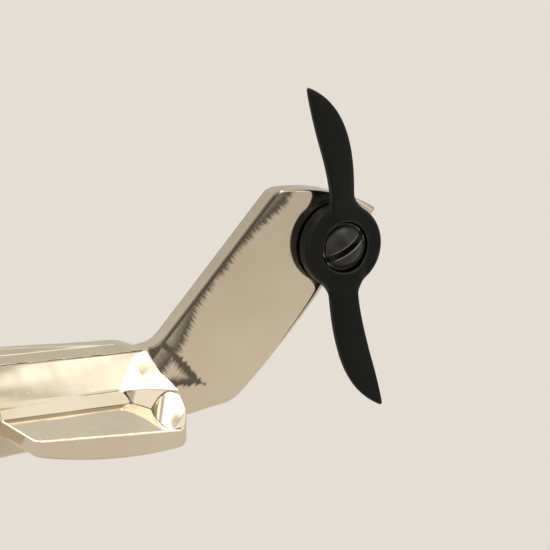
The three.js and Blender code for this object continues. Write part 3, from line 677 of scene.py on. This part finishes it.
def blade_outline():
    """The upper blade seen from port, about the rotor's axis: one full edge and one straighter."""
    full = curve((2.9, 4), (3, 18), (1.5, 29), (-8.2, 33.5), steps=30)
    straight = curve((-3, 4), (-2.4, 15), (-6.6, 22), (-8.6, 33.1), steps=30)
    return np.array([(-2.6, 0), (2.6, 0), (2.9, 4)] + full + straight[::-1] + [(-3, 4)]) * MM


BLADE_POINTS = blade_outline()


def blade(x, y, z):
    """The upper blade: thick along its middle, thin at both edges, and pitched most at its root."""
    rim = outline_distance(x, z, BLADE_POINTS)
    twist = BLADE_PITCH * ramp(z, *BLADE_TWIST)
    middle = BLADE_Y - BLADE_LEAN * z + twist * x
    thickness = BLADE_HALF * (1 - BLADE_TAPER * ramp(z, 0, BLADE_LENGTH))
    half = thickness * (1 - BLADE_THINNING * np.exp(np.minimum(rim, 0) / BLADE_BEVEL))
    return overlap(rim, np.abs(y - middle) - half, MACHINED_EDGE)


def rotor_field(x, y, z):
    """The hub ring with its two blades, and the seat for the screw's washer."""
    x, z = x - AXIS_X, z - AXIS_Z
    radius = np.hypot(x, z)
    hub = overlap(radius - HUB_RADIUS, HUB_FRONT - y, HUB_EDGE)
    hub = overlap(hub, y - HUB_REAR, TURNED_EDGE)
    blades = np.minimum(blade(x, y, z), blade(-x, y, -z))
    body = join(hub, blades, BLADE_ROOT_BLEND)
    body = np.maximum(body, y - HUB_REAR)
    seat = np.maximum(radius - HUB_SEAT_RADIUS, y - HUB_SEAT_Y)
    body = overlap(body, -seat, TURNED_EDGE)
    return overlap(body, HUB_BORE - radius, FINE_EDGE)


def washer_field(inner, outer, low, high, edge):
    """A flat ring about the rotor's axis."""
    def field(x, y, z):
        radius = about_axis(x, z)
        ring = overlap(radius - outer, between(y, low, high), edge)
        return overlap(ring, inner - radius, edge * 0.6)
    return field


def rotor_screw_field(x, y, z):
    """A round-head slotted screw, its domed head to port."""
    radius = about_axis(x, z)
    sphere = (DOME_RADIUS ** 2 + DOME_HEIGHT ** 2) / (2 * DOME_HEIGHT)
    peak = SCREW_SEAT_Y - DOME_HEIGHT
    dome = np.hypot(radius, y - peak - sphere) - sphere
    head = overlap(dome, y - SCREW_SEAT_Y, DOME_EDGE)
    across = (z - AXIS_Z) * math.cos(DOME_SLOT_ANGLE) - (x - AXIS_X) * math.sin(DOME_SLOT_ANGLE)
    slot = np.maximum(np.abs(across) - DOME_SLOT / 2, y - peak - DOME_SLOT_DEPTH)
    head = overlap(head, -slot, DOME_SLOT_EDGE)
    shank = overlap(radius - SHANK, between(y, SCREW_SEAT_Y - SHANK_HIDDEN, SHANK_END), TURNED_EDGE)
    return join(head, shank, MACHINED_EDGE)


def cap_nut_field(x, y, z):
    """A chamfered hexagon with a domed, blind end to starboard."""
    x, z = x - AXIS_X, z - AXIS_Z
    radius = np.hypot(x, z)
    flats = -np.inf
    for i in range(3):
        angle = math.radians(60 * i + 30)
        flats = np.maximum(flats, np.abs(x * math.sin(angle) + z * math.cos(angle)))
    up = y - NUT_LOW
    chamfer = NUT_CHAMFER + NUT_CHAMFER_SLOPE * (NUT_HEIGHT - np.abs(up - NUT_HEIGHT / 2) * 2)
    hexagon = overlap(flats - NUT_HALF_FLATS, between(up, 0, NUT_HEIGHT), FINE_EDGE)
    hexagon = overlap(hexagon, (radius - chamfer) * NUT_CHAMFER_SLANT, NUT_CHAMFER_EDGE)
    dome = np.hypot(radius, up - NUT_BALL_HEIGHT) - NUT_BALL
    body = join(hexagon, np.maximum(dome, NUT_BALL_START - up), NUT_NECK)
    bore = np.maximum(radius - SHANK - SHIM, y - NUT_BORE_END)
    return overlap(body, -bore, FINE_EDGE)


def lock_washer_field(x, y, z):
    """A split ring, its ends to the rear."""
    ring = washer_field(*LOCK_WASHER)(x, y, z)
    split = np.maximum(np.abs(z - AXIS_Z) - LOCK_SPLIT, AXIS_X - x)
    return overlap(ring, -split, LOCK_SPLIT_EDGE)


# ---------------------------------------------------------------- materials


def node(tree, kind, **inputs):
    made = tree.nodes.new(kind)
    for key, value in inputs.items():
        made.inputs[key.replace("_", " ")].default_value = value
    return made


def new_material(name, colour, metallic, roughness):
    material = bpy.data.materials.new(name)
    material.use_nodes = True
    tree = material.node_tree
    shader = tree.nodes["Principled BSDF"]
    shader.inputs["Base Color"].default_value = (*colour, 1)
    shader.inputs["Metallic"].default_value = metallic
    shader.inputs["Roughness"].default_value = roughness
    return material, tree, shader


def noise(tree, scale, stretch=(1, 1, 1), turn=(0, 0, 0), detail=3.0):
    """Noise in the object's own coordinates, stretched and turned: the result's Fac output."""
    place = tree.nodes.new("ShaderNodeTexCoord")
    mapping = tree.nodes.new("ShaderNodeMapping")
    mapping.inputs["Scale"].default_value = stretch
    mapping.inputs["Rotation"].default_value = turn
    texture = node(tree, "ShaderNodeTexNoise", Scale=scale, Detail=detail)
    tree.links.new(place.outputs["Object"], mapping.inputs["Vector"])
    tree.links.new(mapping.outputs["Vector"], texture.inputs["Vector"])
    return texture.outputs["Fac"]


def spread(tree, value, low, high, from_low=0.3, from_high=0.7):
    """A noise value as a number between two others."""
    ranged = tree.nodes.new("ShaderNodeMapRange")
    ranged.inputs["From Min"].default_value = from_low
    ranged.inputs["From Max"].default_value = from_high
    ranged.inputs["To Min"].default_value = low
    ranged.inputs["To Max"].default_value = high
    tree.links.new(value, ranged.inputs["Value"])
    return ranged.outputs["Result"]


def blend_colours(tree, amount, first, second):
    """From one colour to another by an amount."""
    mix = tree.nodes.new("ShaderNodeMix")
    mix.data_type = "RGBA"
    mix.inputs["A"].default_value = (*first, 1)
    mix.inputs["B"].default_value = (*second, 1)
    tree.links.new(amount, mix.inputs["Factor"])
    return mix.outputs["Result"]


def cover(tree, amount, under, colour):
    """A colour laid over another socket's by an amount."""
    mix = tree.nodes.new("ShaderNodeMix")
    mix.data_type = "RGBA"
    mix.inputs["B"].default_value = (*colour, 1)
    tree.links.new(under, mix.inputs["A"])
    tree.links.new(amount, mix.inputs["Factor"])
    return mix.outputs["Result"]


def film_over(tree, shader, amount, colour):
    """Lays a film of another colour over the shader's own."""
    base = shader.inputs["Base Color"]
    tree.links.new(cover(tree, amount, base.links[0].from_socket, colour), base)


def edge_bend(tree):
    """The mesh's own measure of its bend: 1 on an outer edge, -1 in an inner corner."""
    made = tree.nodes.new("ShaderNodeAttribute")
    made.attribute_name = "edge"
    return made.outputs["Fac"]


def combine(tree, operation, first, *others):
    """Numbers or sockets through Math nodes, from the first on."""
    for other in others:
        made = tree.nodes.new("ShaderNodeMath")
        made.operation = operation
        for socket, value in zip(made.inputs, (first, other)):
            if isinstance(value, (int, float)):
                socket.default_value = value
            else:
                tree.links.new(value, socket)
        first = made.outputs["Value"]
    return first


def along(tree, vector, space="Object"):
    """How far a point lies along a direction, in the object's own coordinates or another space."""
    place = tree.nodes.new("ShaderNodeTexCoord")
    dot = tree.nodes.new("ShaderNodeVectorMath")
    dot.operation = "DOT_PRODUCT"
    dot.inputs[1].default_value = vector
    tree.links.new(place.outputs[space], dot.inputs[0])
    return dot.outputs["Value"]


def bump(tree, shader, height, distance, strength=1.0):
    """Adds one more layer of relief under the shader."""
    layer = node(tree, "ShaderNodeBump", Strength=strength, Distance=distance)
    tree.links.new(height, layer.inputs["Height"])
    old = shader.inputs["Normal"].links
    if old:
        tree.links.new(old[0].from_socket, layer.inputs["Normal"])
    tree.links.new(layer.outputs["Normal"], shader.inputs["Normal"])


NICKEL = (0.73, 0.645, 0.51)
NICKEL_DEEP = (0.665, 0.575, 0.43)
TARNISH = (0.13, 0.10, 0.065)


def nickel(name, streak_turn, streak_stretch):
    """Hand-polished nickel: warm, mirror bright, with wiped haze, fine lines and a few pits."""
    material, tree, shader = new_material(name, NICKEL, 1.0, 0.07)
    tint = spread(tree, noise(tree, 60), 0, 1)
    clean = blend_colours(tree, tint, NICKEL, NICKEL_DEEP)
    tarnish = spread(tree, edge_bend(tree), 1, 0, -0.95, -0.45)
    colour = cover(tree, tarnish, clean, TARNISH)
    tree.links.new(colour, shader.inputs["Base Color"])
    haze = spread(tree, noise(tree, 130, streak_stretch, streak_turn), 0.045, 0.12)
    tree.links.new(haze, shader.inputs["Roughness"])
    bump(tree, shader, noise(tree, 900, streak_stretch, streak_turn, 4), 0.006 * MM)
    bump(tree, shader, noise(tree, 150, detail=1), 0.05 * MM)
    pits = spread(tree, noise(tree, 1400, detail=1), 1, 0, 0.72, 0.8)
    bump(tree, shader, pits, 0.006 * MM)
    return material, tree, shader


def strokes(tree, crossing, spacing, lengthways, length, detail=4):
    """Noise drawn out into strokes: from -0.5 to 0.5, quick in one direction and slow in another."""
    joined = tree.nodes.new("ShaderNodeCombineXYZ")
    tree.links.new(combine(tree, "DIVIDE", along(tree, crossing), spacing), joined.inputs["X"])
    tree.links.new(combine(tree, "DIVIDE", along(tree, lengthways), length), joined.inputs["Z"])
    texture = node(tree, "ShaderNodeTexNoise", Scale=1, Detail=detail)
    tree.links.new(joined.outputs["Vector"], texture.inputs["Vector"])
    return combine(tree, "SUBTRACT", texture.outputs["Fac"], 0.5)


# The comb of painted dark reflection along the fin's leading edge: its width, the relief of its
# strokes, how raggedly they end, and how far along the edge its foot and its head are. Then the wedge
# of painted dark reflection at the boom's end: the slant line and the level one that close it, and
# how ragged its rim is.
ROLL_DEPTH = 4.6 * MM
ROLL_DROP = 0.35 * MM
ROLL_RAGGED = 0.9
LEAD_FOOT = 48 * MM
LEAD_HEAD = 86 * MM
WEDGE_ACROSS = (0.758, 0, 0.652)
WEDGE_OFFSET = 52.9 * MM
WEDGE_BOTTOM = 0.2 * MM
WEDGE_RAGGED = 2.6 * MM
HAIR_ALONG = (0.6, 0, 0.8)
HAIR_ACROSS = (0.8, 0, -0.6)
# The colour of the painted dark reflections on the fin's leading edge and at the boom's end.
PAINTED_DARK_REFLECTION = (0.035, 0.026, 0.018)

UP = (0, 0, 1)
AFT = (1, 0, 0)
LEAD = (LEAD_ALONG[0], 0, LEAD_ALONG[1])
BEHIND = (LEAD_ALONG[1], 0, -LEAD_ALONG[0])


def comb_strokes(tree):
    """Short strokes across the leading edge, drifting slowly along it: its relief, and the ragged
    border of the painted dark reflection there.
    """
    comb = strokes(tree, LEAD, 0.32 * MM, BEHIND, 3.5 * MM, 6)
    drift = strokes(tree, LEAD, 3.5 * MM, BEHIND, 30 * MM, 2)
    return combine(tree, "ADD", comb, combine(tree, "MULTIPLY", drift, 0.5))


def comb_masks(tree, comb):
    """Where the comb of painted dark reflection reaches, wider at the edge's foot and head, and how
    dark it is there.
    """
    share = spread(tree, along(tree, BEHIND), 0, 3, LEAD_OFFSET, LEAD_OFFSET + 3 * ROLL_DEPTH)
    lengthways = along(tree, LEAD)
    foot = spread(tree, lengthways, 0.62, 0, LEAD_FOOT + 2 * MM, LEAD_FOOT + 12 * MM)
    head = spread(tree, lengthways, 0, 0.35, LEAD_HEAD - 12 * MM, LEAD_HEAD)
    ragged = combine(tree, "ADD", share, combine(tree, "MULTIPLY", comb, ROLL_RAGGED))
    inner = spread(tree, combine(tree, "SUBTRACT", ragged, foot, head), 1, 0, 0.12, 0.42)
    outer = spread(tree, combine(tree, "SUBTRACT", share, foot, head), 0.5, 1, -0.45, 0.1)
    return inner, combine(tree, "MULTIPLY", inner, outer)


def wedge_rim(tree):
    """The ragged rim of a wedge of painted dark reflection, closed by a slant line and a level one.
    """
    upper = combine(tree, "SUBTRACT", along(tree, WEDGE_ACROSS), WEDGE_OFFSET)
    lower = combine(tree, "SUBTRACT", WEDGE_BOTTOM, along(tree, UP))
    hair = strokes(tree, HAIR_ACROSS, 0.7 * MM, HAIR_ALONG, 4 * MM)
    ragged = combine(tree, "MULTIPLY", hair, WEDGE_RAGGED)
    wedge = combine(tree, "ADD", combine(tree, "MAXIMUM", upper, lower), ragged)
    inside = spread(tree, wedge, 1, 0, 0, 0.5 * MM)
    return combine(tree, "MULTIPLY", inside, spread(tree, wedge, 0, 1, -2.2 * MM, -0.9 * MM))


def fin_painted_reflections_and_tint(tree, shader):
    """Painted dark reflections on the fin: in a comb of short strokes along the leading edge, in a
    thin line on the edge's rim over its highlight, and in a wedge at the foot by the boom's end. Also
    darkens the fin towards its top."""
    normal = tree.nodes.new("ShaderNodeNewGeometry")
    split = tree.nodes.new("ShaderNodeSeparateXYZ")
    tree.links.new(normal.outputs["Normal"], split.inputs["Vector"])
    sideways = combine(tree, "ABSOLUTE", split.outputs["Y"], 0)
    face = spread(tree, sideways, 0, 1, 0.9, 0.97)
    turned = spread(tree, sideways, 0, 1, 0.03, 0.1)

    comb = comb_strokes(tree)
    reach, comb_reflection = comb_masks(tree, comb)
    bump(tree, shader, combine(tree, "MULTIPLY", comb, reach, face), ROLL_DROP)

    rim = spread(tree, along(tree, BEHIND), 1, 0, LEAD_OFFSET + 0.5 * MM, LEAD_OFFSET + 0.8 * MM)
    # A thin dark line painted on the edge's rim: painted dark reflection where the rolled edge would
    # shine.
    line = combine(tree, "MULTIPLY", rim, turned)
    patches = combine(tree, "MAXIMUM", comb_reflection, wedge_rim(tree))
    marks = combine(tree, "MAXIMUM", combine(tree, "MULTIPLY", patches, face), line)
    clear_of_boom = spread(tree, along(tree, AFT), 0, 0.85, BOOM_LENGTH, BOOM_LENGTH + 1 * MM)
    # The fin's colour turns darker and browner towards its top.
    film_over(tree, shader, spread(tree, along(tree, UP), 0, 0.24, 0, 37 * MM), TARNISH)
    # The painted dark reflections, laid on the fin behind the boom's end.
    film_over(tree, shader, combine(tree, "MULTIPLY", marks, clear_of_boom), PAINTED_DARK_REFLECTION)


PAINT = (0.003, 0.004, 0.0028)
PAINT_WORN = (0.028, 0.029, 0.024)
OXIDE = (0.02, 0.02, 0.018)
OXIDE_PALE = (0.036, 0.035, 0.032)
BARE_STEEL_AND_HIGHLIGHT = (0.22, 0.21, 0.19)
PAINTED_SLOT_SHADE = (0.003, 0.003, 0.003)
FIBRE = (0.025, 0.012, 0.008)
FIBRE_PALE = (0.05, 0.026, 0.016)


def black_paint():
    """Satin black over a casting: a fine orange skin, and thin, greyer paint on the edges."""
    material, tree, shader = new_material("black_paint", PAINT, 0, 0.4)
    shader.inputs["Specular IOR Level"].default_value = 0.16
    worn = spread(tree, edge_bend(tree), 0, 1, 0.25, 1.0)
    tree.links.new(blend_colours(tree, worn, PAINT, PAINT_WORN), shader.inputs["Base Color"])
    tree.links.new(spread(tree, noise(tree, 220), 0.33, 0.48), shader.inputs["Roughness"])
    bump(tree, shader, noise(tree, 1100, detail=2), 0.02 * MM)
    bump(tree, shader, noise(tree, 260, detail=1), 0.06 * MM)
    return material


def black_steel():
    """Black oxide, slightly glossy, with tool marks, edges beside the slot turned pale as worn steel
    and painted highlight, and painted shade in the slot.
    """
    material, tree, shader = new_material("black_steel", OXIDE, 0.6, 0.32)
    tree.links.new(spread(tree, noise(tree, 300), 0.26, 0.42), shader.inputs["Roughness"])
    tone = spread(tree, noise(tree, 180), 0, 1)
    tree.links.new(blend_colours(tree, tone, OXIDE, OXIDE_PALE), shader.inputs["Base Color"])
    # Pale steel on the edges beside the slot: wear, and a painted highlight where the slot's edge
    # catches the light.
    bare_and_lit = spread(tree, edge_bend(tree), 0, 0.8, 0.35, 0.95)
    across = along(tree, (-math.sin(DOME_SLOT_ANGLE), 0, math.cos(DOME_SLOT_ANGLE)))
    middle = AXIS_Z * math.cos(DOME_SLOT_ANGLE) - AXIS_X * math.sin(DOME_SLOT_ANGLE)
    off_centre = combine(tree, "SUBTRACT", across, middle)
    off_centre = combine(tree, "ABSOLUTE", off_centre, 0)
    beside_slot = spread(tree, off_centre, 1, 0, DOME_SLOT, 1.5 * DOME_SLOT)
    film_over(tree, shader, combine(tree, "MULTIPLY", bare_and_lit, beside_slot), BARE_STEEL_AND_HIGHLIGHT)
    # Painted shade: the slot is coloured near black, standing in for the shade inside it.
    slot_shade = spread(tree, off_centre, 1, 0, DOME_SLOT / 2 - 0.05 * MM, DOME_SLOT / 2 + 0.05 * MM)
    film_over(tree, shader, slot_shade, PAINTED_SLOT_SHADE)
    bump(tree, shader, noise(tree, 1500, (1, 0.2, 1)), 0.008 * MM)
    return material


def plain_metal(name, colour, roughness, stretch):
    """A turned or machined metal, with fine tool lines."""
    material, tree, shader = new_material(name, colour, 1.0, roughness)
    darker = tuple(value * 0.86 for value in colour)
    tone = spread(tree, noise(tree, 240, stretch), 0, 1)
    tree.links.new(blend_colours(tree, tone, colour, darker), shader.inputs["Base Color"])
    uneven = spread(tree, noise(tree, 500, stretch), roughness * 0.8, roughness * 1.25)
    tree.links.new(uneven, shader.inputs["Roughness"])
    bump(tree, shader, noise(tree, 2200, stretch, detail=2), 0.005 * MM)
    return material


def fibre():
    """Pressed brown fibre, mottled and rough."""
    material, tree, shader = new_material("fibre", FIBRE, 0, 0.75)
    tone = spread(tree, noise(tree, 900), 0, 1)
    tree.links.new(blend_colours(tree, tone, FIBRE, FIBRE_PALE), shader.inputs["Base Color"])
    bump(tree, shader, noise(tree, 2500), 0.01 * MM)
    return material


boom_nickel = nickel("boom_nickel", (0, 0, 0), (0.12, 1, 1))[0]
fin_nickel, fin_tree, fin_shader = nickel("fin_nickel", (0, math.radians(47), 0), (1, 1, 0.2))
fin_painted_reflections_and_tint(fin_tree, fin_shader)
nut_nickel = nickel("nut_nickel", (0, 0, 0), (1, 0.2, 1))[0]
aluminium = plain_metal("bare_aluminium", (0.60, 0.60, 0.60), 0.32, (1, 0.1, 0.1))
steel = plain_metal("turned_steel", (0.52, 0.52, 0.51), 0.25, (0.3, 1, 0.3))
bronze = plain_metal("bearing_bronze", (0.44, 0.25, 0.08), 0.3, (0.3, 1, 0.3))
rotor_paint = black_paint()
screw_black = black_steel()
washer_fibre = fibre()

# ---------------------------------------------------------------- the pieces

for part, side in (("port_shell", -1), ("starboard_shell", 1)):
    piece(part, "tail", "boom_" + part, shell_field(side), COARSE, boom_nickel)
piece("back_strip", "tail", "spine_strip", spine_field, MEDIUM, boom_nickel)
piece("fin", "tail", "tail_fin", fin_field, FIN_STEP, fin_nickel)
piece("front_block", "tail", "joint_block", block_field, MEDIUM, aluminium)
piece("rotor", "rotor", "tail_rotor", rotor_field, MEDIUM, rotor_paint)
piece("pivot_screw", "tail", "rotor_screw", rotor_screw_field, FINE, screw_black)
piece("screw_washer", "tail", "head_washer",
      washer_field(*HEAD_WASHER), FINE, screw_black)
piece("fin_washer", "tail", "nut_washer",
      washer_field(*NUT_WASHER), FINE, nut_nickel)
piece("spring_washer", "tail", "lock_washer", lock_washer_field, FINE, steel)
piece("domed_nut", "tail", "cap_nut", cap_nut_field, FINE, nut_nickel)

for key, place in SCREWS.items():
    seat_y, _, tip_y = screw_reach(key)
    piece("cheese_screw_" + key, "tail", "clamp_screw_" + key,
          clamp_screw_field(place, seat_y, tip_y), FINE, steel)

CARRIED = {
    "dowel_pin_front": steel,
    "dowel_pin_rear": steel,
    "pivot_sleeve": steel,
    "rotor_bush": bronze,
    "thrust_washer": washer_fibre,
}
for key, material in CARRIED.items():
    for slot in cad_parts[key].material_slots:
        slot.material = material

# ---------------------------------------------------------------- floor, light and camera


def floor():
    mesh = bpy.data.meshes.new("floor")
    signs = ((-1, -1), (1, -1), (1, 1), (-1, 1))
    corners = [(a * FLOOR_HALF, b * FLOOR_HALF, FLOOR_Z) for a, b in signs]
    mesh.from_pydata(corners, [], [(0, 1, 2, 3)])
    material, _, shader = new_material("floor", FLOOR_COLOUR, 0, 0.9)
    shader.inputs["Specular IOR Level"].default_value = 0
    mesh.materials.append(material)
    made = bpy.data.objects.new("floor", mesh)
    bpy.context.scene.collection.objects.link(made)


def direction(azimuth, elevation):
    """The unit vector from the object towards a viewer or lamp: azimuth 0 is -Y."""
    a, e = math.radians(azimuth), math.radians(elevation)
    return Vector((math.sin(a) * math.cos(e), -math.cos(a) * math.cos(e), math.sin(e)))


def softbox(name, azimuth, elevation, distance, size, radiance):
    """A round area light of one radiance that faces the object."""
    light = bpy.data.lights.new(name, "AREA")
    light.shape = "DISK"
    light.size = size
    light.energy = radiance * math.pi * (math.pi * size * size / 4)
    made = bpy.data.objects.new(name, light)
    towards = direction(azimuth, elevation)
    made.location = CAMERA_TARGET + towards * distance
    made.rotation_euler = towards.to_track_quat("Z", "Y").to_euler()
    bpy.context.scene.collection.objects.link(made)


def studio_world():
    """A pale room with one long soft light overhead, dim where a photographer would stand."""
    world = bpy.data.worlds.new("studio")
    bpy.context.scene.world = world
    world.use_nodes = True
    tree = world.node_tree

    def cap(azimuth, elevation, inner, outer):
        """1 within an angle of a direction, falling to 0 at a wider one."""
        edges = math.cos(math.radians(outer)), math.cos(math.radians(inner))
        towards = along(tree, direction(azimuth, elevation), "Generated")
        mask = spread(tree, towards, 0, 1, *edges)
        mask.node.interpolation_type = "SMOOTHSTEP"
        return mask

    aside = combine(tree, "ABSOLUTE", along(tree, LIGHT_ASIDE, "Generated"), 0)
    widths = LIGHT_HALF_WIDTH, LIGHT_HALF_WIDTH + LIGHT_SIDE_BORDER
    band = spread(tree, aside, 1, 0, *(math.sin(math.radians(width)) for width in widths))
    ends = cap(*LIGHT_MIDDLE, LIGHT_HALF_LENGTH, LIGHT_HALF_LENGTH + LIGHT_END_BORDER)

    height = spread(tree, along(tree, UP, "Generated"), 0, 1, *ROOM_RISE)
    colour = blend_colours(tree, height, ROOM_LOW, ROOM)
    for *place, shade in ROOM_PATCHES:
        colour = cover(tree, cap(*place), colour, shade)
    colour = cover(tree, combine(tree, "MULTIPLY", band, ends), colour, LIGHT)
    tree.links.new(colour, tree.nodes["Background"].inputs["Color"])


def camera():
    data = bpy.data.cameras.new("camera")
    data.sensor_width = SENSOR
    data.lens = SENSOR * CAMERA_DISTANCE / VIEW_WIDTH
    data.clip_end = 100
    made = bpy.data.objects.new("camera", data)
    back = direction(CAMERA_AZIMUTH, CAMERA_ELEVATION)
    made.location = CAMERA_TARGET + back * CAMERA_DISTANCE
    made.rotation_euler = back.to_track_quat("Z", "Y").to_euler()
    bpy.context.scene.collection.objects.link(made)
    bpy.context.scene.camera = made


floor()
studio_world()
softbox("overhead", azimuth=40, elevation=66, distance=3.0, size=0.9, radiance=1.5)
camera()
bpy.context.scene.view_settings.view_transform = "Standard"
